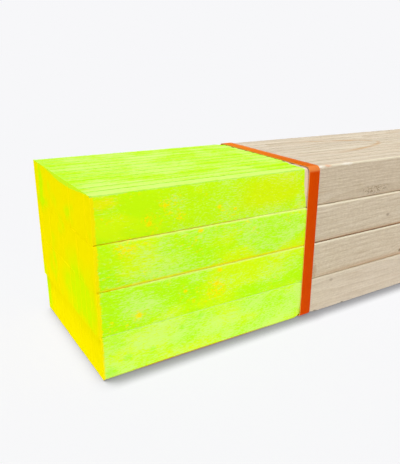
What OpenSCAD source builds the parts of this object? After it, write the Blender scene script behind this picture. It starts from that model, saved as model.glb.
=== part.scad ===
// Bundle of survey lath: square-sawn sticks standing on edge in rows, held by two plastic straps.
// The lath run along Y with their painted tops at the -Y end. The bundle lies on its straps at z = 0,
// and the origin is under the middle of it.

/* [Lath] */
// Thickness of one lath, across the bundle
lath_thickness = 12.6; // [8:0.1:16]
// Width of one lath, upright in the bundle
lath_width = 37.9; // [25:0.1:50]
// Length of one lath
lath_length = 1219; // [600:1:1829]
// Arris worn off each long edge
lath_arris = 0.5; // [0.2:0.1:1]
// Length of the painted top of each lath
paint_length = 203; // [50:1:250]

/* [Bundle] */
// Rows of lath, one on the other
rows = 4; // [2:1:4]
// Lath side by side in each row
columns = 12; // [4:1:14]
// Gap between neighbouring lath in a row
column_gap = 0.1; // [0.05:0.05:0.5]
// Gap between one row and the next
row_gap = 0.2; // [0.1:0.05:0.6]
// Most that a lath lies in or out lengthwise from where it was stacked
end_stagger = 0.5; // [0:0.1:3]
// How far the bottom row is pushed in from the painted end
pushed_in = 1.5; // [0:0.1:6]

/* [Straps] */
// Width of the strap
strap_width = 12.7; // [9:0.1:19]
// Thickness of the strap
strap_thickness = 0.8; // [0.5:0.05:1.2]
// Distance from each end of the bundle to the strap's nearer edge
strap_inset = 206; // [60:1:280]
// Radius to which the strap crushes the bundle's corners
strap_bend = 4; // [1.5:0.1:5]
// Length of the welded lap that closes the strap
strap_lap = 38; // [20:1:40]
// Clearance between the strap and the lath under it
strap_clearance = 0.1; // [0.05:0.05:0.3]

/* [Hidden] */
$fn = 64;
stagger_seed = 19;

column_pitch = lath_thickness + column_gap;
row_pitch = lath_width + row_gap;
bundle_width = columns * column_pitch - column_gap;
bundle_height = rows * row_pitch - row_gap;
bundle_bottom = strap_thickness + strap_clearance;
bundle_middle = bundle_bottom + bundle_height / 2;

// Strap centres along the bundle, painted end first
strap_centres = [for (end = [-1, 1]) end * (lath_length / 2 - strap_inset - strap_width / 2)];
strap_inner_width = bundle_width + 2 * strap_clearance;
strap_inner_height = bundle_height + 2 * strap_clearance;
strap_inner_bend = strap_bend + strap_clearance;

// One lengthwise place for each lath, from full out to full in
stagger = rands(-end_stagger, end_stagger, rows * columns, stagger_seed);

function two_digits(number) = number < 10 ? str("0", number) : str(number);
function lath_name(row, column) = str("lath_row", row + 1, "_", two_digits(column + 1));
function lath_x(column) = column * column_pitch - bundle_width / 2;
function lath_z(row) = bundle_bottom + row * row_pitch;
function lath_push(row, column) = stagger[row * columns + column] + (row == 0 ? pushed_in : 0);
function is_corner(row, column) =
    (row == 0 || row == rows - 1) && (column == 0 || column == columns - 1);

STRAP_NAMES = ["strap_painted_end", "strap_bare_end"];

// Section of a lath, in the plane across the bundle, with its lower left corner at the origin
module lath_section() {
    t = lath_thickness;
    w = lath_width;
    a = lath_arris;
    polygon([[a, 0], [t - a, 0], [t, a], [t, w - a], [t - a, w], [a, w], [0, w - a], [0, a]]);
}

// Extrudes a section drawn in x and z along y, from the -y end
module along_y(length) {
    translate([0, length, 0]) rotate([90, 0, 0]) linear_extrude(length) children();
}

// One lath at its own lengthwise place, with its corner crushed where a strap turns over it
module lath(row, column) {
    difference() {
        translate([lath_x(column), lath_push(row, column) - lath_length / 2, lath_z(row)]) {
            color("greenyellow") along_y(paint_length) lath_section();
            color("wheat") translate([0, paint_length, 0])
                along_y(lath_length - paint_length) lath_section();
        }
        if (is_corner(row, column)) strap_bites(row, column);
    }
}

// The cuts of both straps in a corner lath
module strap_bites(row, column) {
    side = column == 0 ? -1 : 1;
    level = row == 0 ? -1 : 1;
    corner_x = side * (bundle_width / 2 - strap_bend);
    corner_z = bundle_middle + level * (bundle_height / 2 - strap_bend);
    for (centre = strap_centres)
        translate([corner_x, centre - strap_width / 2 - strap_clearance, corner_z])
            along_y(strap_width + 2 * strap_clearance)
                scale([side, level]) corner_crush();
}

// What the strap crushes off one corner of the bundle: a square less the quarter round that is left
module corner_crush() {
    difference() {
        square(strap_inner_bend);
        circle(strap_bend);
    }
}

// One strap, closed round the bundle
module strap(centre) {
    color("orangered")
        translate([0, centre - strap_width / 2, bundle_middle])
            along_y(strap_width) {
                strap_loop();
                strap_tail();
            }
}

// The strap's run round the bundle, in the plane across it
module strap_loop() {
    difference() {
        round_rectangle(
            strap_inner_width + 2 * strap_thickness,
            strap_inner_height + 2 * strap_thickness,
            strap_inner_bend + strap_thickness
        );
        round_rectangle(strap_inner_width, strap_inner_height, strap_inner_bend);
    }
}

// The free end of the strap, welded over its start on the -x side
module strap_tail() {
    translate([-strap_inner_width / 2 - 2 * strap_thickness, -strap_lap / 2])
        square([strap_thickness, strap_lap]);
}

// Rectangle with round corners, centred on the origin
module round_rectangle(width, height, radius) {
    square([width - 2 * radius, height], center = true);
    square([width, height - 2 * radius], center = true);
    for (x = [-1, 1], y = [-1, 1])
        translate([x * (width / 2 - radius), y * (height / 2 - radius)]) circle(radius);
}

for (row = [0 : rows - 1], column = [0 : columns - 1])
    lath(row, column);
for (end = [0, 1])
    strap(strap_centres[end]);
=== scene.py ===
import math
import random
import bmesh
import bpy
from mathutils import Matrix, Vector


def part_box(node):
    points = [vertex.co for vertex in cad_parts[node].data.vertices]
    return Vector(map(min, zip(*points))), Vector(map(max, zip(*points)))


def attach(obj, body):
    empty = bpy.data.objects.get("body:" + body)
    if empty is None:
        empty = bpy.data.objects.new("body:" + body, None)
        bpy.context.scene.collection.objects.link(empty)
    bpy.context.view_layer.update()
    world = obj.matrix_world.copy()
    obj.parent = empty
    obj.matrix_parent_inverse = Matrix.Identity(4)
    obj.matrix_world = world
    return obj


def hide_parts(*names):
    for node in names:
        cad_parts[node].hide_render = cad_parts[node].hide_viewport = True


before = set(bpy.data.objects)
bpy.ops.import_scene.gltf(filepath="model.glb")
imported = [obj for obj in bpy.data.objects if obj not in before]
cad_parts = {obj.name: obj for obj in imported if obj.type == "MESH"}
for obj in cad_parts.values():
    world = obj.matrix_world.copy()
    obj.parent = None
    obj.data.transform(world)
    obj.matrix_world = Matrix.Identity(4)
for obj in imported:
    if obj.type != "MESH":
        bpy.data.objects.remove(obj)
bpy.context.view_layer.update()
bpy.context.scene.view_settings.view_transform = "Standard"

# Lath
# Square-sawn softwood sticks, standing on edge in rows. Their faces come rough off the saw, their long
# edges are worn, and once they are strapped the whole end of the bundle is sprayed with marking paint.
MM = 0.001


def row_and_column(name):
    """The row and the column of a lath, counted from 1, as its node's name gives them."""
    row, column = name.removeprefix("lath_row").split("_")
    return int(row), int(column)


lath_names = sorted(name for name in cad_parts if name.startswith("lath_"))
rows = max(row_and_column(name)[0] for name in lath_names)
columns = max(row_and_column(name)[1] for name in lath_names)
lath_low, lath_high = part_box("lath_row2_02")
lath_thickness, lath_length, lath_width = lath_high - lath_low
beside_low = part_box("lath_row3_03")[0]
column_pitch = beside_low.x - lath_low.x
row_pitch = beside_low.z - lath_low.z
thin_lath = f"lath_row{rows}_{columns:02d}"
ledge_lath = f"lath_row{rows - 1}_{columns:02d}"
bundle_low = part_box("lath_row1_01")[0]
bundle_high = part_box(thin_lath)[1]
bundle_middle = (bundle_low + bundle_high) / 2
strap_names = ("strap_painted_end", "strap_bare_end")
strap_boxes = [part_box(name) for name in strap_names]
painted_end = -lath_length / 2
paint_length = 203 * MM
paint_under_strap = 6 * MM
lath_arris = 0.5 * MM
end_arris = 0.12 * MM
section_edge = 2.8 * MM
fine_length = 380 * MM
outer_lath_cuts = 74
outer_lath_recuts = 1
inner_lath_cuts = 20
saw_relief = 0.2 * MM
saw_wave = 6 * MM
grain_stretch = 8
arris_wear = 0.6 * MM
lower_wear = 0.25 * MM
arris_chip = 4 * MM
thickness_spread = 0.3 * MM
width_spread = 0.12 * MM
thinned_by = 0.5 * MM
arris_band = 1.1 * lath_arris
joint_skin = 0.1 * lath_arris
joint_start = 0.7 * lath_arris
corner_crush = 1.3 * MM
crush_width = 1.5 * lath_arris
crush_run = 9 * MM
cut_margin = 0.1 * MM
end_unevenness = 0.2
end_facing = 0.9
smooth_angle = math.radians(35)
lath_seed = 7
# The marking paint glows, painted light that brightens it, and glows more on the ends, which the lamps light
# less
face_painted_glow = 0.12
end_painted_glow = 0.2
face_contrast = 0.35
end_contrast = 0.8


def select_edges(keep):
    """Selects the edges of the piece in edit mode for which keep says yes, going by their two ends."""
    bpy.ops.mesh.select_all(action="DESELECT")
    mesh = bmesh.from_edit_mesh(bpy.context.object.data)
    for edge in mesh.edges:
        start, end = (corner.co for corner in edge.verts)
        edge.select_set(keep(start, end))
    bmesh.update_edit_mesh(bpy.context.object.data)


def select_vertices(keep):
    """Selects the vertices of the piece in edit mode for which keep says yes, going by their place."""
    bpy.ops.mesh.select_all(action="DESELECT")
    mesh = bmesh.from_edit_mesh(bpy.context.object.data)
    for vertex in mesh.verts:
        vertex.select_set(keep(vertex.co))
    mesh.select_flush(True)
    bmesh.update_edit_mesh(bpy.context.object.data)


def bisect(place, normal):
    """Cuts the whole piece in edit mode along a plane, and keeps both sides."""
    bpy.ops.mesh.select_all(action="SELECT")
    bpy.ops.mesh.bisect(plane_co=place, plane_no=normal)


def runs_along(axis):
    """A test for select_edges: does the edge run along this axis?"""
    return lambda start, end: abs((end - start).normalized()[axis]) > 0.99


def sawn_stick(name, cuts, recuts):
    """One stick about the origin, with worn long edges, and faces cut up to be roughened. Its painted
    stretch and the rest get the same number of cuts, so that the painted one is finer."""
    bpy.ops.object.select_all(action="DESELECT")
    bpy.ops.mesh.primitive_cube_add(size=1)
    stick = bpy.context.object
    stick.name = name
    stick.scale = (lath_thickness, lath_length, lath_width)
    bpy.ops.object.transform_apply(location=False, rotation=False, scale=True)
    bpy.ops.object.mode_set(mode="EDIT")
    bpy.ops.mesh.select_mode(type="EDGE")
    select_edges(lambda start, end: not runs_along(1)(start, end))
    bpy.ops.mesh.bevel(offset=end_arris, segments=1, affect="EDGES")
    select_edges(lambda start, end: (end - start).length > lath_length * 0.9)
    bpy.ops.mesh.bevel(offset=lath_arris, segments=2, affect="EDGES")
    for side in (-1, 1):
        bisect((side * (lath_thickness / 2 - section_edge), 0, 0), (1, 0, 0))
        bisect((0, 0, side * (lath_width / 2 - section_edge)), (0, 0, 1))
        bisect((0, 0, side * lath_width / 6), (0, 0, 1))
    bisect((0, painted_end + fine_length, 0), (0, 1, 0))
    for count in (cuts, recuts):
        if count:
            select_edges(runs_along(1))
            bpy.ops.mesh.subdivide(number_cuts=count)
    bpy.ops.mesh.select_mode(type="VERT")
    arris_x = lath_thickness / 2 - arris_band
    arris_z = lath_width / 2 - arris_band
    short_of_end = lath_length / 2 - end_arris * 2
    for group, least_x, least_z in (("long_faces", 0, 0), ("arris", arris_x, arris_z)):
        select_vertices(
            lambda place: abs(place.x) >= least_x
            and abs(place.z) >= least_z
            and abs(place.y) < short_of_end
        )
        bpy.ops.object.vertex_group_add()
        stick.vertex_groups[-1].name = group
        bpy.ops.object.vertex_group_assign()
    bpy.ops.object.mode_set(mode="OBJECT")
    bpy.ops.geometry.attribute_add(name="joint", domain="POINT", data_type="FLOAT")
    return stick


def stretched(name, scale):
    """An empty whose axes stretch a texture that is read from it."""
    bpy.ops.object.empty_add()
    bpy.context.object.name = name
    bpy.context.object.scale = scale
    bpy.context.view_layer.update()
    return bpy.context.object


def cloud(name, size, depth):
    """A cloud texture for roughening a surface, with lumps of a given size."""
    made = bpy.data.textures.new(name, "CLOUDS")
    made.noise_scale = size
    made.noise_depth = depth
    return made


def roughen(piece, texture, guide, depth, group):
    """Sinks a group of the piece's points by up to depth, after a texture read in the guide's axes."""
    change = piece.modifiers.new("roughen", "DISPLACE")
    change.texture = texture
    change.texture_coords = "OBJECT"
    change.texture_coords_object = guide
    change.mid_level = 1
    change.strength = depth
    change.vertex_group = group
    bpy.ops.object.modifier_apply(modifier=change.name)


def crush_corner(side, level):
    """Presses in one corner of the piece in edit mode under both straps, as they do when pulled tight."""
    corner_x = bundle_high.x if side > 0 else bundle_low.x
    corner_z = bundle_high.z if level > 0 else bundle_low.z
    for low, high in strap_boxes:
        bisect((0, low.y, 0), (0, 1, 0))
        bisect((0, high.y, 0), (0, 1, 0))
        select_vertices(
            lambda place: low.y - cut_margin < place.y < high.y + cut_margin
            and abs(place.x - corner_x) < crush_width + thinned_by
            and abs(place.z - corner_z) < crush_width
        )
        bpy.ops.transform.translate(
            value=(-side * corner_crush, 0, -level * corner_crush),
            use_proportional_edit=True,
            use_proportional_connected=True,
            proportional_edit_falloff="SHARP",
            proportional_size=crush_run,
        )


def mark_joints(outside, start):
    """Marks how deep each point of the piece in edit mode lies in a joint: 0 on the outside, 0.4 on the
    way in, and 1 past the joint's start."""

    def depth(place):
        return min(abs(place[axis] - level) for axis, level in outside)

    for mark, nearest, farthest in ((0.4, joint_skin, start), (1.0, start, lath_length)):
        select_vertices(lambda place: nearest < depth(place) < farthest)
        bpy.ops.mesh.attribute_set(value_float=mark)


def new_group(name, inputs, outputs):
    """An empty shader node group with named sockets, and its two end nodes."""
    group = bpy.data.node_groups.new(name, "ShaderNodeTree")
    for direction, sockets in (("INPUT", inputs), ("OUTPUT", outputs)):
        for label, kind in sockets.items():
            group.interface.new_socket(label, in_out=direction, socket_type="NodeSocket" + kind)
    return group, group.nodes.new("NodeGroupInput").outputs, group.nodes.new("NodeGroupOutput").inputs


def new_material(name):
    """A material with nodes, its tree and its shader."""
    material = bpy.data.materials.new(name)
    material.use_nodes = True
    return material, material.node_tree, material.node_tree.nodes["Principled BSDF"]


def set_inputs(tree, node, inputs):
    """Gives each of a node's inputs a plain value, or links another node's output to it."""
    for name, value in inputs.items():
        if isinstance(value, bpy.types.NodeSocket):
            tree.links.new(value, node.inputs[name])
        else:
            node.inputs[name].default_value = value


def add_node(tree, kind, inputs, **settings):
    """Adds a shader node with its settings and its inputs."""
    made = tree.nodes.new("ShaderNode" + kind)
    for name, value in settings.items():
        setattr(made, name, value)
    set_inputs(tree, made, inputs)
    return made


def maths(tree, operation, first, second=0.0):
    """The result of a Math node."""
    return add_node(tree, "Math", {0: first, 1: second}, operation=operation).outputs[0]


def plus(tree, first, second):
    """The sum of two values."""
    return maths(tree, "ADD", first, second)


def minus(tree, first, second):
    """The first value less the second."""
    return maths(tree, "SUBTRACT", first, second)


def times(tree, first, *others):
    """The product of several values, as of masks that all have to hold."""
    for other in others:
        first = maths(tree, "MULTIPLY", first, other)
    return first


def highest(tree, first, *others):
    """The highest of several values, as of masks of which any may hold."""
    for other in others:
        first = maths(tree, "MAXIMUM", first, other)
    return first


def vectors(tree, operation, first, second=(0, 0, 0)):
    """The result of a Vector Math node."""
    return add_node(tree, "VectorMath", {0: first, 1: second}, operation=operation).outputs[0]


def length(tree, vector):
    """The length of a vector."""
    return add_node(tree, "VectorMath", {0: vector}, operation="LENGTH").outputs["Value"]


def millimetres(tree):
    """The place on a piece in millimetres, as its object's own coordinates."""
    metres = add_node(tree, "TexCoord", {}).outputs["Object"]
    return add_node(tree, "VectorMath", {0: metres, "Scale": 1 / MM}, operation="SCALE").outputs[0]


def fade(tree, value, low, high, start=0.0, stop=1.0):
    """Takes a value smoothly from start to stop as it goes from low to high."""
    sockets = {"Value": value, "From Min": low, "From Max": high, "To Min": start, "To Max": stop}
    return add_node(tree, "MapRange", sockets, interpolation_type="SMOOTHSTEP").outputs[0]


def mix(tree, share, first, second, blend="MIX"):
    """Mixes two colours."""
    sockets = {0: share, 6: first, 7: second}
    return add_node(tree, "Mix", sockets, data_type="RGBA", blend_type=blend).outputs[2]


def noise(tree, position, lumps, detail=3.0, rough=0.5):
    """Noise with lumps of a given size along x, y and z, in the position's own units."""
    shrunk = vectors(tree, "DIVIDE", position, lumps)
    sockets = {"Vector": shrunk, "Scale": 1.0, "Detail": detail, "Roughness": rough}
    return add_node(tree, "TexNoise", sockets).outputs[0]


def srgb(red, green, blue):
    """A colour as it is seen on a screen, from 0 to 255, as a shader takes it."""
    parts = [value / 255 for value in (red, green, blue)]
    return [p / 12.92 if p <= 0.04045 else ((p + 0.055) / 1.055) ** 2.4 for p in parts] + [1.0]


# The bundle's faces in millimetres, as the materials take places, and the grid of cells that the lath
# lie in. A cell is much longer than a lath, so that each lath has one of its own.
near_x = bundle_high.x / MM
top_z = bundle_high.z / MM
base_z = bundle_low.z / MM
end_y = painted_end / MM
column_step = column_pitch / MM
row_step = row_pitch / MM
cell_length = 10000
lath_cell = (column_step, cell_length, row_step)
first_side = (bundle_low.x - (column_pitch - lath_thickness) / 2) / MM
first_bottom = (bundle_low.z - (row_pitch - lath_width) / 2) / MM
first_corner = (first_side, -cell_length / 2, first_bottom)
knot_spacing = 310
resin_tip_along = 392
resin_tip_across = -9
resin_tip_spread = 3.8


def near_side(along, up):
    """A place on the near side of the bundle, so far from the painted end and so far up."""
    return near_x, end_y + along, up


def joint_height(row):
    """How high the joint on top of a row lies, the bottom row being 1."""
    return base_z + row * row_step


def at_joint(tree, height, row):
    """1 about the joint on top of a row, and 0 away from it."""
    away = maths(tree, "ABSOLUTE", minus(tree, height, joint_height(row)))
    return fade(tree, away, 3, 4, 1.0, 0.0)


def in_bottom_row(tree, height):
    """1 in the bottom row, and 0 above it."""
    return fade(tree, height, joint_height(1) - 1, joint_height(1) + 1, 1.0, 0.0)


def blot(tree, position, centre, reach, ragged):
    """A soft round patch about a place, up to its reach along x, y and z, with an edge torn by noise."""
    away = vectors(tree, "DIVIDE", vectors(tree, "SUBTRACT", position, centre), reach)
    tear = times(tree, minus(tree, ragged, 0.5), 1.6)
    return fade(tree, plus(tree, length(tree, away), tear), 0.3, 1.1, 1.0, 0.0)


def knots(tree, position, from_corner):
    """Where there are knots, and how they bend the rings: a few by chance, and two pins on the near side."""
    cell = (column_step, knot_spacing, row_step)
    corner = vectors(tree, "SNAP", from_corner, cell)
    drawn = add_node(tree, "TexWhiteNoise", {"Vector": vectors(tree, "ADD", corner, (3, 3, 3))}).outputs
    in_cell = vectors(tree, "SUBTRACT", from_corner, corner)
    from_knot = vectors(tree, "SUBTRACT", in_cell, vectors(tree, "MULTIPLY", drawn["Color"], cell))
    distance = length(tree, vectors(tree, "MULTIPLY", from_knot, (0, 0.7, 1)))
    is_there = maths(tree, "GREATER_THAN", drawn["Value"], 0.55)
    knot = times(tree, fade(tree, distance, 0.8, 2.4, 0.7, 0.0), is_there)
    bend = times(tree, fade(tree, distance, 1, 14, 1.4, 0.0), is_there)
    for along, up, share in ((324, 91, 0.5), (247, 32, 0.34)):
        pin = blot(tree, position, near_side(along, up), (5, 3.4, 2.2), 0.5)
        knot = highest(tree, knot, times(tree, pin, share))
    return knot, bend


def growth_rings(tree, in_lath, own_place, lath, tone, bend):
    """Rings round a pith that lies elsewhere for each lath, wavy along it and bent by its knots."""
    pith = vectors(tree, "MULTIPLY", vectors(tree, "SUBTRACT", lath, (0.5, 0, 0.4)), (170, 0, 170))
    from_pith = vectors(tree, "MULTIPLY", vectors(tree, "SUBTRACT", in_lath, pith), (1, 0, 1))
    drift = times(tree, noise(tree, own_place, (55, 300, 55), 2.0), 30.0)
    ring_width = fade(tree, tone["Red"], 0, 1, 2.6, 5.6)
    years = maths(tree, "DIVIDE", plus(tree, length(tree, from_pith), drift), ring_width)
    return maths(tree, "POWER", maths(tree, "FRACT", plus(tree, years, bend)), 2.2)


def sawn_grain(tree, ring, relief, tone, contrast, end, on_top, low_down):
    """The colour of clean wood: its rings, the painted shadows of its relief, and a tone of each lath's own.
    """
    livelier = times(tree, contrast, plus(tree, on_top, 1.0))
    wood = mix(tree, times(tree, ring, livelier), srgb(239, 229, 210), srgb(206, 184, 150))
    for texture, low, high, shadow in relief:
        shaded = mix(tree, fade(tree, texture, low, high), shadow, srgb(255, 255, 255))
        wood = mix(tree, 1.0, wood, shaded, "MULTIPLY")
    warmth = mix(tree, tone["Green"], srgb(255, 249, 243), srgb(253, 251, 248))
    wood = mix(tree, 1.0, wood, warmth, "MULTIPLY")
    darkest = fade(tree, end, 0, 1, 0.95, 0.82)
    lighter = times(tree, on_top, fade(tree, tone["Red"], 0, 1, -0.02, 0.05))
    shade = plus(tree, fade(tree, tone["Blue"], 0, 1, darkest, 1.01), lighter)
    grey = add_node(tree, "CombineColor", {"Red": shade, "Green": shade, "Blue": shade}).outputs[0]
    wood = mix(tree, 1.0, wood, grey, "MULTIPLY")
    # Painted light: paler on top, where more light falls, and in the bottom row, lit from the floor
    paler = times(tree, highest(tree, on_top, low_down), 0.18)
    return mix(tree, paler, wood, srgb(252, 247, 236))


def stained(tree, wood, position, place, knot, nap, streak, on_top):
    """Adds resin in streaks and in two lines that meet on top, torn grain high on the near side, the
    knots, a brown mark by the strap and two dark marks along the floor."""
    resin = fade(tree, streak, 0.62, 0.74, 0.0, 0.3)
    short_of_tip = minus(tree, end_y + resin_tip_along, place["Y"])
    spread = times(tree, maths(tree, "SQRT", highest(tree, short_of_tip, 0.0)), resin_tip_spread)
    from_middle = maths(tree, "ABSOLUTE", minus(tree, place["X"], resin_tip_across))
    from_line = maths(tree, "ABSOLUTE", minus(tree, from_middle, spread))
    tip = times(
        tree,
        fade(tree, from_line, 1.0, 5.0, 0.6, 0.0),
        on_top,
        fade(tree, short_of_tip, -2, 0),
        fade(tree, short_of_tip, 50, 130, 1.0, 0.0),
    )
    wood = mix(tree, highest(tree, resin, tip), wood, srgb(206, 160, 108))
    torn = blot(tree, position, near_side(300, 122), (9, 36, 8), nap)
    pits = times(tree, torn, fade(tree, nap, 0.48, 0.6, 0.0, 0.8))
    wood = mix(tree, pits, wood, srgb(140, 114, 84))
    wood = mix(tree, knot, wood, srgb(126, 92, 60))
    for along, up, reach_y, reach_z, share, tint in (
        (221, 47, 5, 9, 0.35, srgb(176, 128, 84)),
        (227, 1.2, 3, 1.8, 0.8, srgb(96, 86, 76)),
        (266, 1.2, 3, 1.6, 0.8, srgb(96, 86, 76)),
    ):
        mark = blot(tree, position, near_side(along, up), (6, reach_y, reach_z), nap)
        wood = mix(tree, times(tree, mark, share), wood, tint)
    return wood


def joint_resin_and_painted_light(tree, wood, place, streak):
    """Adds resin and painted shade along each row's lower edge on the near side, and a painted highlight
    below.
    """
    on_side = fade(tree, place["X"], near_x - 3.0, near_x - 2.0)
    for row, reach, share, line, painted_highlight_share in (
        (1, 7, 0.5, 0.15, 0.35),
        (2, 5, 0.7, 0.95, 0.9),
        (3, 3, 0.35, 0.2, 0.9),
    ):
        above = minus(tree, place["Z"], joint_height(row))
        is_above = maths(tree, "GREATER_THAN", above, 0.0)
        broken = fade(tree, streak, 0.3, 0.6, 0.3, 1.0)
        # Resin and painted shade along the lower edge of the row above the joint
        resin_and_painted_shade_band = times(tree, fade(tree, above, 0.5, reach, share, 0.0), is_above, broken, on_side)
        wood = mix(tree, resin_and_painted_shade_band, wood, srgb(190, 142, 92))
        crack = times(tree, fade(tree, above, 0.6, 1.8, line, 0.0), is_above, on_side)
        wood = mix(tree, crack, wood, srgb(148, 100, 60))
        # A pale rim on the row below, a painted highlight of its lit top edge
        rim = minus(tree, fade(tree, above, -2.6, -1.5, 0.0, painted_highlight_share), is_above)
        rim = times(tree, highest(tree, rim, 0.0), on_side)
        wood = mix(tree, rim, wood, srgb(250, 240, 214))
    return wood


def worn_edges(tree, wood, position, place, inset, tone, joint, nap, on_top):
    """Makes the arrises pale, as wear and as a painted highlight, paler where chipped, and dark in the
    joints.
    """
    # Worn arrises with a painted highlight, and on top a pale line by each lath's edge and along the near
    # edge
    arris = times(tree, fade(tree, joint, 0.05, 0.3), fade(tree, joint, 0.85, 0.5))
    to_edge = minus(tree, column_step, inset["X"])
    own_width = fade(tree, tone["Green"], 0, 1, 1.5, 3.5)
    worn_edge_and_painted_highlight = fade(tree, to_edge, 0.5, own_width, 0.75, 0.0)
    near_edge = fade(tree, place["X"], near_x - 6, near_x - 2)
    worn_edge_and_painted_highlight = times(tree, highest(tree, worn_edge_and_painted_highlight, near_edge), on_top)
    arris = highest(tree, arris, worn_edge_and_painted_highlight)
    wood = mix(tree, times(tree, arris, 0.7), wood, srgb(246, 236, 208))
    # Pale chips along the top edge; the last, on the near side beside the strap, is painted light over the
    # strap's shade
    for along, up, reach, share, tint in (
        (203, top_z, (6, 7, 2.6), 0.9, srgb(252, 244, 230)),
        (221, top_z, (6, 7, 2.6), 0.9, srgb(252, 244, 230)),
        (256, top_z, (6, 10, 2.6), 0.9, srgb(252, 244, 230)),
        (231, top_z, (6, 5, 2), 0.8, srgb(240, 184, 146)),
        (203, 136, (8, 6, 26), 0.9, srgb(255, 226, 196)),
    ):
        chip_and_painted_light = blot(tree, position, near_side(along, up), reach, nap)
        wood = mix(tree, times(tree, chip_and_painted_light, share), wood, tint)
    middle = at_joint(tree, place["Z"], 2)
    dirt = fade(tree, noise(tree, position, (40, 90, 40), 2.0), 0.4, 0.65, 0.0, 0.4)
    stain = mix(tree, middle, srgb(206, 166, 110), srgb(160, 104, 58))
    dark = times(tree, fade(tree, joint, 0.6, 1.0), highest(tree, dirt, times(tree, middle, 0.9)))
    return mix(tree, dark, wood, stain)


def soaked_ends(tree, wood, inset, end):
    """Darkens the sawn ends, whose grain drinks in dirt, and leaves a dark line round each lath there."""
    nearest = minus(tree, column_step, inset["X"])
    for edge in (inset["X"], inset["Z"], minus(tree, row_step, inset["Z"])):
        nearest = maths(tree, "MINIMUM", nearest, edge)
    soaked = mix(tree, times(tree, end, 0.6), srgb(255, 255, 255), srgb(238, 224, 200))
    wood = mix(tree, 1.0, wood, soaked, "MULTIPLY")
    outline = times(tree, fade(tree, nearest, 0.3, 1.3, 0.75, 0.0), end)
    return mix(tree, outline, wood, srgb(124, 94, 62))


def softwood_group():
    """Sawn softwood: its colour, the relief of its grain, and a chance colour for each lath."""
    group, given, result = new_group(
        "softwood",
        {"Position": "Vector", "Joint": "Float", "Contrast": "Float", "End": "Float"},
        {"Colour": "Color", "Height": "Float", "Lath": "Color"},
    )
    position = given["Position"]
    place = add_node(group, "SeparateXYZ", {0: position}).outputs
    from_corner = vectors(group, "SUBTRACT", position, first_corner)
    own_corner = vectors(group, "SNAP", from_corner, lath_cell)
    in_lath = vectors(group, "SUBTRACT", from_corner, own_corner)
    inset = add_node(group, "SeparateXYZ", {0: in_lath}).outputs
    lath = add_node(group, "TexWhiteNoise", {"Vector": own_corner}).outputs["Color"]
    tone = add_node(group, "SeparateColor", {"Color": lath}).outputs
    own_place = vectors(group, "ADD", position, vectors(group, "MULTIPLY", lath, (900, 900, 900)))
    on_top = fade(group, place["Z"], top_z - 1.8, top_z - 1.0)
    low_down = in_bottom_row(group, place["Z"])
    fibre = noise(group, own_place, (0.5, 24, 0.5), 4.0, 0.65)
    ripple = noise(group, own_place, (30, 3.5, 9), 3.0)
    streak = noise(group, own_place, (2.5, 150, 2.5), 2.0)
    nap = noise(group, own_place, (1.4, 3.0, 1.4), 3.0, 0.6)
    saw = noise(group, own_place, (0.6, 2.0, 3.0), 3.0, 0.6)
    relief = (
        (fibre, 0.34, 0.66, srgb(235, 230, 223)),
        (ripple, 0.35, 0.65, srgb(252, 251, 249)),
        (nap, 0.32, 0.68, srgb(244, 242, 240)),
    )
    knot, bend = knots(group, position, from_corner)
    ring = growth_rings(group, in_lath, own_place, lath, tone, bend)
    wood = sawn_grain(group, ring, relief, tone, given["Contrast"], given["End"], on_top, low_down)
    wood = stained(group, wood, position, place, knot, nap, streak, on_top)
    wood = joint_resin_and_painted_light(group, wood, place, streak)
    wood = worn_edges(group, wood, position, place, inset, tone, given["Joint"], nap, on_top)
    wood = soaked_ends(group, wood, inset, given["End"])
    height = plus(group, times(group, fibre, 0.7), times(group, saw, 0.5))
    group.links.new(wood, result["Colour"])
    group.links.new(height, result["Height"])
    group.links.new(lath, result["Lath"])
    return group


def paint_coverage(tree, position, place, tone, from_end, torn):
    """Where the paint has reached on the outside of the bundle: under the strap, but short of it at the
    near top corner and on the far side."""
    from_corner = vectors(tree, "SUBTRACT", position, (near_x, 0, top_z))
    corner = length(tree, vectors(tree, "MULTIPLY", from_corner, (1, 0, 1)))
    held_back = fade(tree, corner, 10, 60, 7.5, 0.0)
    far_side = fade(tree, place["X"], -40, 0, 6.0, 0.0)
    own_edge = plus(tree, held_back, times(tree, tone["Red"], far_side))
    limit = minus(tree, plus(tree, torn, (paint_length + paint_under_strap) / MM), own_edge)
    lengthwise = fade(tree, minus(tree, limit, from_end), -0.4, 0.4)
    off_x = minus(tree, maths(tree, "ABSOLUTE", place["X"]), near_x)
    height = minus(tree, place["Z"], (top_z + base_z) / 2)
    off_z = minus(tree, maths(tree, "ABSOLUTE", height), (top_z - base_z) / 2)
    outside = highest(tree, off_x, off_z, times(tree, from_end, -1.0))
    return times(tree, lengthwise, fade(tree, outside, -7, -4))


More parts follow.
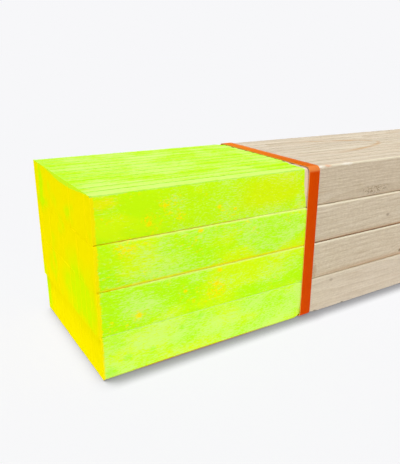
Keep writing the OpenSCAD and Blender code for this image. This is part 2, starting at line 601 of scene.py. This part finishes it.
def thin_lime(tree, position, place, from_end, on_top, body, fuzz):
    """The coat on the long faces: lime, yellower where it lies thick, and pale where it is so thin that
    the fibre stands out of it, and paler on top in streaks and by the near edge, a painted sheen."""
    off_top = minus(tree, 1.0, on_top)
    top_row = joint_height(rows - 1)
    high_up = times(tree, fade(tree, place["Z"], top_row - 1, top_row + 1), off_top)
    thick_here = times(tree, fade(tree, body, 0.4, 0.64), off_top)
    yellower = highest(tree, thick_here, times(tree, high_up, 0.45))
    coat = mix(tree, yellower, srgb(190, 255, 8), srgb(220, 255, 10))
    strand = noise(tree, position, (1.2, 7, 0.9), 4.0, 0.6)
    patch = noise(tree, vectors(tree, "ADD", position, (0, 60, 20)), (36, 40, 24), 3.0)
    brushed = noise(tree, vectors(tree, "ADD", position, (40, 0, 0)), (5, 130, 40), 2.0)
    near_edge = fade(tree, place["X"], near_x - 12, near_x - 9)
    dry = fade(tree, patch, 0.4, 0.66, 0.0, 0.09)
    # The two masks on top pale the coat as a painted sheen
    for mask, amount in (
        (times(tree, on_top, fade(tree, brushed, 0.38, 0.62, 0.03, 0.1)), 1.0),
        (in_bottom_row(tree, place["Z"]), 0.08),
        (times(tree, on_top, near_edge), 0.06),
        (times(tree, high_up, fade(tree, from_end, 35, 75, 1.0, 0.0)), -0.06),
    ):
        dry = plus(tree, dry, times(tree, mask, amount))
    for along, up, reach_y, reach_z, amount in (
        (49, 90, 40, 17, 0.1),
        (33, 57, 18, 17, 0.1),
        (197, 124, 7, 10, 0.1),
        (68, 138, 18, 10, 0.06),
        (118, 138, 22, 14, 0.05),
        (168, 96, 44, 20, 0.07),
    ):
        here = blot(tree, position, near_side(along, up), (30, reach_y, reach_z), body)
        dry = plus(tree, dry, times(tree, here, amount))
    calm = fade(tree, on_top, 0, 1, 1.0, 0.65)
    for texture in (strand, fuzz):
        uneven = times(tree, minus(tree, texture, 0.5), 0.5)
        dry = plus(tree, dry, times(tree, uneven, calm))
    thin = fade(tree, dry, 0.02, 0.2)
    return mix(tree, times(tree, thin, 0.85), coat, srgb(216, 252, 128))


def thick_yellow(tree, coat, position, place, from_end, on_top, body, fuzz):
    """Adds green nicks and, in yellow, specks, crumbs, drops, a pool by the strap and a smear and a rim at
    the end."""
    for along, up, reach in ((73, 28, 4), (91, 34, 4), (23, 15, 5), (45, 16, 4), (8, 6, 7)):
        nick = blot(tree, position, near_side(along, up), (12, reach, reach * 0.8), fuzz)
        coat = mix(tree, times(tree, nick, 0.45), coat, srgb(166, 246, 0))
    speck = noise(tree, position, (3, 4, 2.6), 3.0, 0.65)
    cluster = noise(tree, vectors(tree, "ADD", position, (300, 0, 90)), (34, 30, 24), 2.0)
    gathered = plus(tree, cluster, fade(tree, from_end, 10, 130, 0.06, 0.0))
    thick = times(
        tree,
        fade(tree, speck, 0.54, 0.66),
        fade(tree, gathered, 0.5, 0.66, 0.0, 0.6),
        fade(tree, in_bottom_row(tree, place["Z"]), 0, 1, 1.0, 0.15),
    )
    crumbs = fade(tree, noise(tree, position, (1.6, 2.2, 1.4), 3.0, 0.6), 0.46, 0.56, 0.0, 0.85)
    for along, up, reach in (
        (60, 139, 6),
        (44, 128, 6),
        (73, 127, 6),
        (25, 109, 12),
        (34, 50, 7),
        (107, 56, 14),
    ):
        here = blot(tree, position, near_side(along, up), (20, reach, reach * 0.8), speck)
        thick = highest(tree, thick, times(tree, here, crumbs))
    pool = blot(tree, position, near_side(167, 137), (24, 44, 19), body)
    smear = blot(tree, position, near_side(8, 146), (24, 16, 6), speck)
    rim = fade(tree, plus(tree, from_end, times(tree, speck, 4.0)), 4, 6, 1.0, 0.0)
    thick = highest(tree, thick, times(tree, pool, 0.3), times(tree, smear, 0.6), rim)
    for along, up, reach in (
        (34, 50, 3.6),
        (59, 138, 2.6),
        (45, 125, 3.2),
        (109, 130, 2.8),
        (125, 126, 2.2),
        (91, 112, 3.2),
        (110, 73, 3.2),
        (107, 61, 3.6),
        (76, 61, 2.4),
    ):
        drop = blot(tree, position, near_side(along, up), (12, reach, reach * 0.8), fuzz)
        thick = highest(tree, thick, drop)
    return mix(tree, times(tree, thick, minus(tree, 1.0, on_top)), coat, srgb(255, 238, 0))


def painted_joints(tree, coat, position, place, joint, from_end, on_top):
    """Paints the joints and edges: yellow between the rows, pale at the lowest joint as painted light, and
    run together above the middle one. At the highest there is a ledge, orange towards the end and bare
    towards the strap. The seams on top are a deeper green, and the bottom edge is orange along the floor."""
    off_the_end = fade(tree, from_end, 3, 8)
    in_joint = times(tree, fade(tree, joint, 0.5, 1.0), off_the_end)
    joint_paint = mix(tree, on_top, srgb(250, 222, 0), srgb(180, 234, 44))
    coat = mix(tree, in_joint, coat, joint_paint)
    # The lowest joint's edge faces down into shade; its pale coat is painted light
    lowest = times(tree, at_joint(tree, place["Z"], 1), fade(tree, joint, 0.05, 0.3), off_the_end)
    coat = mix(tree, lowest, coat, srgb(228, 255, 150))
    ledge = mix(tree, fade(tree, from_end, 100, 165), srgb(222, 184, 0), srgb(240, 242, 190))
    bare = fade(tree, from_end, 100, 165, 0.4, 0.8)
    on_ledge = times(tree, at_joint(tree, place["Z"], rows - 1), fade(tree, joint, 0.1, 0.4), bare)
    coat = mix(tree, on_ledge, coat, ledge)
    # A pale line under the upper two joints: worn paint, and a painted highlight on the lit edge below
    for row in (rows - 2, rows - 1):
        below = minus(tree, joint_height(row), place["Z"])
        is_below = maths(tree, "GREATER_THAN", below, 0.0)
        worn = times(tree, fade(tree, below, 1.0, 2.2, 0.5, 0.0), is_below, fade(tree, from_end, 10, 40))
        coat = mix(tree, worn, coat, srgb(238, 252, 150))
    above = minus(tree, place["Z"], joint_height(rows - 2))
    is_above = maths(tree, "GREATER_THAN", above, 0.0)
    run_together = times(tree, fade(tree, above, 0.9, 2.8, 0.75, 0.0), is_above)
    coat = mix(tree, run_together, coat, srgb(244, 228, 0))
    to_seam = maths(tree, "PINGPONG", minus(tree, place["X"], first_side), column_step / 2)
    open_here = fade(tree, noise(tree, position, (14, 90, 40), 2.0), 0.44, 0.64, 0.0, 0.4)
    open_here = highest(tree, open_here, fade(tree, place["X"], near_x - 20, near_x - 16, 0.0, 0.7))
    seam = times(tree, fade(tree, to_seam, 0.5, 1.3, 1.0, 0.0), on_top, open_here)
    coat = mix(tree, seam, coat, srgb(166, 220, 34))
    along_floor = times(
        tree,
        fade(tree, from_end, 15, 50, 0.4, 1.0),
        fade(tree, from_end, 130, 190, 1.0, 0.4),
        fade(tree, minus(tree, place["Z"], base_z), 0.6, 1.9, 0.9, 0.0),
    )
    return mix(tree, along_floor, coat, srgb(200, 122, 0))


def painted_ends(tree, position, place, from_top, torn):
    """The coat on the sawn ends: an even thick yellow, greener in patches, with grit in it and the lime of
    the top run over its edge."""
    green = noise(tree, position, (22, 1000, 22), 3.0)
    second_row = joint_height(1)
    off_bottom_row = fade(tree, place["Z"], second_row - 0.5, second_row + 0.5, 0.25, 1.0)
    broad = blot(tree, position, (36, end_y, 62), (50, 30, 36), green)
    greener = highest(tree, fade(tree, green, 0.58, 0.72, 0.0, 0.7), times(tree, broad, 0.85))
    greener = times(tree, greener, off_bottom_row)
    for across, up, reach_x, reach_z, share in (
        (-57, 136, 11, 30, 1.0),
        (-53, 119, 18, 8, 1.0),
        (-70, 24, 10, 34, 0.85),
    ):
        here = blot(tree, position, (across, end_y, up), (reach_x, 30, reach_z), green)
        greener = highest(tree, greener, times(tree, here, share))
    coat = mix(tree, greener, srgb(255, 240, 0), srgb(216, 255, 4))
    grit = noise(tree, position, (4.5, 1000, 1.4), 2.0, 0.6)
    coat = mix(tree, fade(tree, grit, 0.52, 0.7, 0.0, 0.3), coat, srgb(240, 230, 0))
    off_middle = maths(tree, "ABSOLUTE", minus(tree, place["X"], 14))
    run_over = plus(tree, fade(tree, off_middle, 8, 60, 4.6, 0.6), torn)
    run_edge = fade(tree, minus(tree, run_over, from_top), -0.5, 0.5, 0.0, 0.9)
    return mix(tree, run_edge, coat, srgb(204, 255, 40))


def marking_paint_group():
    """Fluorescent marking paint: where it has reached, and its colour from thin lime to thick yellow."""
    group, given, result = new_group(
        "marking_paint",
        {"Position": "Vector", "Lath": "Color", "Joint": "Float", "End": "Float"},
        {"Colour": "Color", "Coverage": "Float"},
    )
    position = given["Position"]
    place = add_node(group, "SeparateXYZ", {0: position}).outputs
    tone = add_node(group, "SeparateColor", {"Color": given["Lath"]}).outputs
    from_end = minus(group, place["Y"], end_y)
    from_top = minus(group, top_z, place["Z"])
    on_top = fade(group, from_top, 1.0, 1.8, 1.0, 0.0)
    torn = times(group, minus(group, noise(group, position, (3, 1000, 3), 3.0), 0.5), 2.0)
    body = noise(group, position, (45, 60, 30), 3.0)
    fuzz = noise(group, position, (1.2, 2.6, 1.0), 4.0, 0.65)
    coverage = paint_coverage(group, position, place, tone, from_end, torn)
    coat = thin_lime(group, position, place, from_end, on_top, body, fuzz)
    coat = thick_yellow(group, coat, position, place, from_end, on_top, body, fuzz)
    coat = painted_joints(group, coat, position, place, given["Joint"], from_end, on_top)
    end_coat = painted_ends(group, position, place, from_top, torn)
    group.links.new(coverage, result["Coverage"])
    group.links.new(mix(group, given["End"], coat, end_coat), result["Colour"])
    return group


softwood = softwood_group()
marking_paint = marking_paint_group()


def lath_material(name, sawn_end):
    """Sawn softwood under marking paint, for the long faces of a lath or for its sawn ends."""
    material, tree, shader = new_material(name)
    joint = add_node(tree, "Attribute", {}, attribute_name="joint").outputs["Fac"]
    given = {"Position": millimetres(tree), "Joint": joint, "End": float(sawn_end)}
    contrast = end_contrast if sawn_end else face_contrast
    wood = add_node(tree, "Group", {**given, "Contrast": contrast}, node_tree=softwood).outputs
    paint = add_node(tree, "Group", {**given, "Lath": wood["Lath"]}, node_tree=marking_paint).outputs
    bump = add_node(tree, "Bump", {"Height": wood["Height"], "Strength": 0.35, "Distance": 0.3 * MM})
    looks = {
        "Base Color": mix(tree, paint["Coverage"], wood["Colour"], paint["Colour"]),
        # The paint's glow is painted light
        "Emission Color": mix(tree, paint["Coverage"], (0, 0, 0, 1), paint["Colour"]),
        "Emission Strength": end_painted_glow if sawn_end else face_painted_glow,
        "Roughness": 0.8,
        "Specular IOR Level": 0.0 if sawn_end else 0.05,
        "Normal": bump.outputs[0],
    }
    set_inputs(tree, shader, looks)
    return material


def mean_end(chosen_rows):
    """Where the painted ends of the lath in these rows lie on average."""
    ends = [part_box(name)[0].y for name in lath_names if row_and_column(name)[0] in chosen_rows]
    return sum(ends) / len(ends)


def copy_of(piece, name):
    """A copy of a piece, with its own mesh, that alone is selected."""
    bpy.ops.object.select_all(action="DESELECT")
    piece.select_set(True)
    bpy.context.view_layer.objects.active = piece
    bpy.ops.object.duplicate()
    bpy.context.object.name = name
    return bpy.context.object


face_material = lath_material("sawn_lath_face", False)
end_material = lath_material("sawn_lath_end", True)
outer_stick = sawn_stick("outer_stick", outer_lath_cuts, outer_lath_recuts)
inner_stick = sawn_stick("inner_stick", inner_lath_cuts, 0)
along_grain = stretched("along_grain", (1, grain_stretch, 1))
even = stretched("even", (1, 1, 1))
saw_waves = cloud("saw_waves", saw_wave, 2)
edge_chips = cloud("edge_chips", arris_chip, 2)
chance = random.Random(lath_seed)
bottom_end = mean_end([1])
upper_end = mean_end(range(2, rows + 1))
for name in lath_names:
    row, column = row_and_column(name)
    outer = row in (1, rows) or column in (1, columns)
    side = (column == columns) - (column == 1)
    level = (row == rows) - (row == 1)
    lath = copy_of(outer_stick if outer else inner_stick, "sawn_" + name)
    thinner = thinned_by if name == thin_lath else chance.random() * thickness_spread
    narrower = chance.random() * width_spread
    low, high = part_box(name)
    row_end = bottom_end if row == 1 else upper_end
    low.y = row_end + (low.y - row_end) * end_unevenness
    if row < rows:
        high.z += row_pitch - lath_width
    size = high - low
    size.x -= thinner
    size.z -= narrower
    centre = (low + high) / 2
    centre.x -= side * thinner / 2
    lath.scale = (size.x / lath_thickness, size.y / lath_length, size.z / lath_width)
    lath.location = centre
    bpy.ops.object.transform_apply()
    bpy.ops.object.mode_set(mode="EDIT")
    outside = [(1, centre.y - size.y / 2), (1, centre.y + size.y / 2)]
    if side:
        outside.append((0, centre.x + side * size.x / 2))
    if level:
        outside.append((2, centre.z + level * size.z / 2))
    mark_joints(outside, thinned_by if name == ledge_lath else joint_start)
    if side and level:
        crush_corner(side, level)
    bpy.ops.object.mode_set(mode="OBJECT")
    roughen(lath, saw_waves, along_grain, saw_relief, "long_faces")
    if outer:
        roughen(lath, edge_chips, even, lower_wear if row < rows - 1 else arris_wear, "arris")
    lath.vertex_groups.clear()
    lath.data.materials.append(face_material)
    lath.data.materials.append(end_material)
    for face in lath.data.polygons:
        face.material_index = int(abs(face.normal.y) > end_facing)
    bpy.ops.object.shade_smooth_by_angle(angle=smooth_angle)
    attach(lath, "root")
    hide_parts(name)
for helper in (outer_stick, inner_stick, along_grain, even):
    bpy.data.objects.remove(helper)

# Straps
# Half-inch plastic strapping, pulled tight round the bundle so that it crushes the corners, and closed by
# welding its free end over its start. It is orange-red, with a fine waffle rolled into both faces.
strap_thickness = 0.8 * MM
strap_corner = 4.9 * MM
strap_lap = 38 * MM
strap_edge = 0.2 * MM
edge_angle = math.radians(40)

# In millimetres, as the material takes places, and in radians a millimetre for what repeats
lap_face = strap_boxes[0][0].x / MM
strap_middle = (strap_boxes[1][0].y + strap_boxes[1][1].y) / 2 / MM
strap_half = (strap_boxes[1][1].y - strap_boxes[1][0].y) / 2 / MM
weld_half = 11
rib_turn = 3.2
waffle_turn = 4.0


def strap_colour(tree, position, place):
    """Orange-red, lighter and yellower on top, paler in the bends at the top and along the cut edges, all
    painted light.
    """
    cloudy = noise(tree, position, (9, 9, 9), 3.0)
    upright = mix(tree, cloudy, srgb(222, 68, 0), srgb(230, 84, 0))
    # The top run is lighter and yellower as painted light, most towards the far side
    top_painted_light = mix(tree, fade(tree, place["X"], -60, near_x - 10), srgb(244, 128, 0), srgb(226, 106, 0))
    colour = mix(tree, fade(tree, place["Z"], top_z - 5, top_z - 1), upright, top_painted_light)
    past_x = minus(tree, maths(tree, "ABSOLUTE", place["X"]), near_x)
    past_z = minus(tree, place["Z"], top_z)
    # A painted highlight with some scuffing in the bend at the top
    bent = fade(tree, plus(tree, past_x, past_z), -4.0, -1.6, 0.0, 0.5)
    colour = mix(tree, bent, colour, srgb(250, 158, 92))
    off_middle = minus(tree, maths(tree, "ABSOLUTE", place["Y"]), strap_middle)
    # The cut edges are paler, painted light against their shade
    edge_painted_light = fade(tree, maths(tree, "ABSOLUTE", off_middle), strap_half - 0.2, strap_half - 0.05)
    return mix(tree, edge_painted_light, colour, srgb(255, 172, 96))


def welded(tree, colour, place):
    """Darkens the ribs that the welding tool has pressed into the lap."""
    on_lap = fade(tree, place["X"], lap_face + 0.2, lap_face + 0.6, 1.0, 0.0)
    from_middle = maths(tree, "ABSOLUTE", minus(tree, place["Z"], bundle_middle.z / MM))
    in_weld = fade(tree, from_middle, weld_half, weld_half + 1, 1.0, 0.0)
    rib = maths(tree, "SINE", times(tree, place["Z"], rib_turn))
    ribs = fade(tree, rib, -0.4, 0.4, 0.25, 0.7)
    return mix(tree, times(tree, ribs, on_lap, in_weld), colour, srgb(168, 40, 0))


def strap_material():
    """Polypropylene with a waffle of low pyramids."""
    material, tree, shader = new_material("strap_plastic")
    position = millimetres(tree)
    place = add_node(tree, "SeparateXYZ", {0: position}).outputs
    run = plus(tree, place["X"], place["Z"])
    rising = maths(tree, "SINE", times(tree, plus(tree, run, place["Y"]), waffle_turn))
    falling = maths(tree, "SINE", times(tree, minus(tree, run, place["Y"]), waffle_turn))
    waffle = times(tree, rising, falling)
    bump = add_node(tree, "Bump", {"Height": waffle, "Strength": 0.15, "Distance": 0.05 * MM})
    looks = {
        "Base Color": welded(tree, strap_colour(tree, position, place), place),
        "Roughness": 0.5,
        "Specular IOR Level": 0.01,
        "Normal": bump.outputs[0],
    }
    set_inputs(tree, shader, looks)
    return material


def select_faces(keep):
    """Selects the faces of the piece in edit mode for which keep says yes."""
    bpy.ops.mesh.select_all(action="DESELECT")
    mesh = bmesh.from_edit_mesh(bpy.context.object.data)
    for face in mesh.faces:
        face.select_set(keep(face))
    bmesh.update_edit_mesh(bpy.context.object.data)


def strap_loop(name, low, high):
    """A loop of strapping that fills the box, with round corners, cut across where its lap will end."""
    bpy.ops.object.select_all(action="DESELECT")
    bpy.ops.mesh.primitive_cube_add(size=1, location=(low + high) / 2)
    strap = bpy.context.object
    strap.name = name
    strap.scale = high - low
    bpy.ops.object.transform_apply()
    bpy.ops.object.mode_set(mode="EDIT")
    bpy.ops.mesh.select_mode(type="FACE")
    select_faces(lambda face: abs(face.normal.y) > end_facing)
    bpy.ops.mesh.delete(type="FACE")
    bpy.ops.mesh.select_mode(type="EDGE")
    select_edges(runs_along(1))
    bpy.ops.mesh.bevel(offset=strap_corner, segments=8, affect="EDGES")
    for level in (-1, 1):
        bisect((0, 0, (low.z + high.z) / 2 + level * strap_lap / 2), (0, 0, 1))
    bpy.ops.object.mode_set(mode="OBJECT")
    shell = strap.modifiers.new("thickness", "SOLIDIFY")
    shell.thickness = strap_thickness
    shell.offset = -1
    shell.use_even_offset = True
    bpy.ops.object.modifier_apply(modifier=shell.name)
    return strap


def add_lap(low, high):
    """Lays the free end of the strap over its start, on the far side of the box that the loop fills."""

    def on_lap(face):
        middle = face.calc_center_median()
        is_outer = face.normal.x < -0.9 and middle.x < low.x + strap_thickness / 2
        return is_outer and abs(middle.z - (low.z + high.z) / 2) < strap_lap / 2

    bpy.ops.object.mode_set(mode="EDIT")
    bpy.ops.mesh.select_mode(type="FACE")
    select_faces(on_lap)
    bpy.ops.mesh.extrude_region_move(TRANSFORM_OT_translate={"value": (-strap_thickness, 0, 0)})
    bpy.ops.object.mode_set(mode="OBJECT")


def roll_edges(strap):
    """Rounds the strap's sharp edges, as rolling leaves them."""
    edges = strap.modifiers.new("edges", "BEVEL")
    edges.width = strap_edge
    edges.segments = 2
    edges.limit_method = "ANGLE"
    edges.angle_limit = edge_angle
    bpy.ops.object.modifier_apply(modifier=edges.name)


strap_plastic = strap_material()
for name, (low, high) in zip(strap_names, strap_boxes):
    loop_low = low.copy()
    loop_low.x += strap_thickness
    strap = strap_loop("plastic_" + name, loop_low, high)
    add_lap(loop_low, high)
    roll_edges(strap)
    bpy.ops.object.shade_smooth_by_angle(angle=smooth_angle)
    strap.data.materials.append(strap_plastic)
    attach(strap, "root")
    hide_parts(name)

# Studio
# A pale floor that fades into an even, nearly white surround. Most of the light comes from above and a
# little from the front, a weaker light comes low from the camera's side, and the surround adds the rest.
# The camera sees the floor mostly as its even colour with a painted contact shadow, darkened by ambient
# occlusion that leans to one side
floor_size = 60
floor_colour = srgb(247, 247, 249)
floor_seen = 0.9
ambient_light = 0.15
fill_light = 0.045
key_light = 1 - ambient_light - fill_light
key_tilt = (math.radians(6), math.radians(9), 0)
key_softness = math.radians(20)
fill_height = math.radians(15)
fill_heading = math.radians(55)
fill_softness = math.radians(40)
contact_reach = 18 * MM
contact_lean = (-0.6, -0.6, 1)
contact_shade = srgb(140, 140, 143)
bpy.ops.object.select_all(action="DESELECT")
bpy.ops.mesh.primitive_plane_add(size=floor_size, location=(0, 0, 0))
floor = bpy.context.object
floor.name = "studio_floor"
floor_material, tree, floor_shader = new_material("studio_floor")
set_inputs(tree, floor_shader, {"Base Color": floor_colour, "Roughness": 1.0, "Specular IOR Level": 0.0})
lean = vectors(tree, "NORMALIZE", contact_lean)
around = {"Distance": contact_reach, "Normal": lean}
open_round = add_node(tree, "AmbientOcclusion", around, samples=16).outputs["AO"]
# The painted contact shadow
floor_with_painted_shadow = mix(tree, fade(tree, open_round, 0.4, 1.0), contact_shade, floor_colour)
seen_floor = add_node(tree, "Emission", {"Color": floor_with_painted_shadow, "Strength": 1.0})
rays = add_node(tree, "LightPath", {}).outputs
share = times(tree, rays["Is Camera Ray"], floor_seen)
either = add_node(tree, "MixShader", {0: share, 1: floor_shader.outputs[0], 2: seen_floor.outputs[0]})
tree.links.new(either.outputs[0], tree.nodes["Material Output"].inputs["Surface"])
floor.data.materials.append(floor_material)

world = bpy.data.worlds.new("studio")
bpy.context.scene.world = world
world.use_nodes = True
tree = world.node_tree
surround = tree.nodes["Background"]
set_inputs(tree, surround, {"Color": (1, 1, 1, 1), "Strength": ambient_light})
seen = add_node(tree, "Background", {"Color": floor_colour, "Strength": 1.0})
rays = add_node(tree, "LightPath", {}).outputs
shown = highest(tree, rays["Is Camera Ray"], rays["Is Glossy Ray"], rays["Is Transmission Ray"])
either = add_node(tree, "MixShader", {0: shown, 1: surround.outputs[0], 2: seen.outputs[0]})
tree.links.new(either.outputs[0], tree.nodes["World Output"].inputs["Surface"])

key_slope = math.cos(key_tilt[0]) * math.cos(key_tilt[1])
fill_slope = math.sin(fill_height)
fill_tilt = (math.pi / 2 - fill_height, 0, fill_heading)
for name, tilt, energy, softness in (
    ("key", key_tilt, math.pi * key_light / key_slope, key_softness),
    ("fill", fill_tilt, math.pi * fill_light / fill_slope, fill_softness),
):
    bpy.ops.object.light_add(type="SUN", rotation=tilt)
    lamp = bpy.context.object
    lamp.name = name
    lamp.data.energy = energy
    lamp.data.angle = softness

# Camera
# Stands where the photograph was taken from: a little above the bundle, off the near corner of its
# painted end, with the frame moved sideways as in the photograph.
camera_place = (0.4266, -0.72485, 0.24952)
camera_heading = math.radians(54.993)
camera_pitch = math.radians(-18.759)
camera_roll = math.radians(1.509)
camera_focal = 520.72
camera_centre_x = 240
picture_width = 400
sensor_width = 36
bpy.ops.object.camera_add(location=camera_place)
camera = bpy.context.object
camera.name = "photo_camera"
turned = Matrix.Rotation(camera_heading, 3, "Z")
tipped = Matrix.Rotation(math.pi / 2 + camera_pitch, 3, "X")
rolled = Matrix.Rotation(camera_roll, 3, "Z")
camera.rotation_euler = (turned @ tipped @ rolled).to_euler()
camera.data.sensor_fit = "HORIZONTAL"
camera.data.sensor_width = sensor_width
camera.data.lens = camera_focal * sensor_width / picture_width
camera.data.shift_x = (picture_width / 2 - camera_centre_x) / picture_width
bpy.context.scene.camera = camera
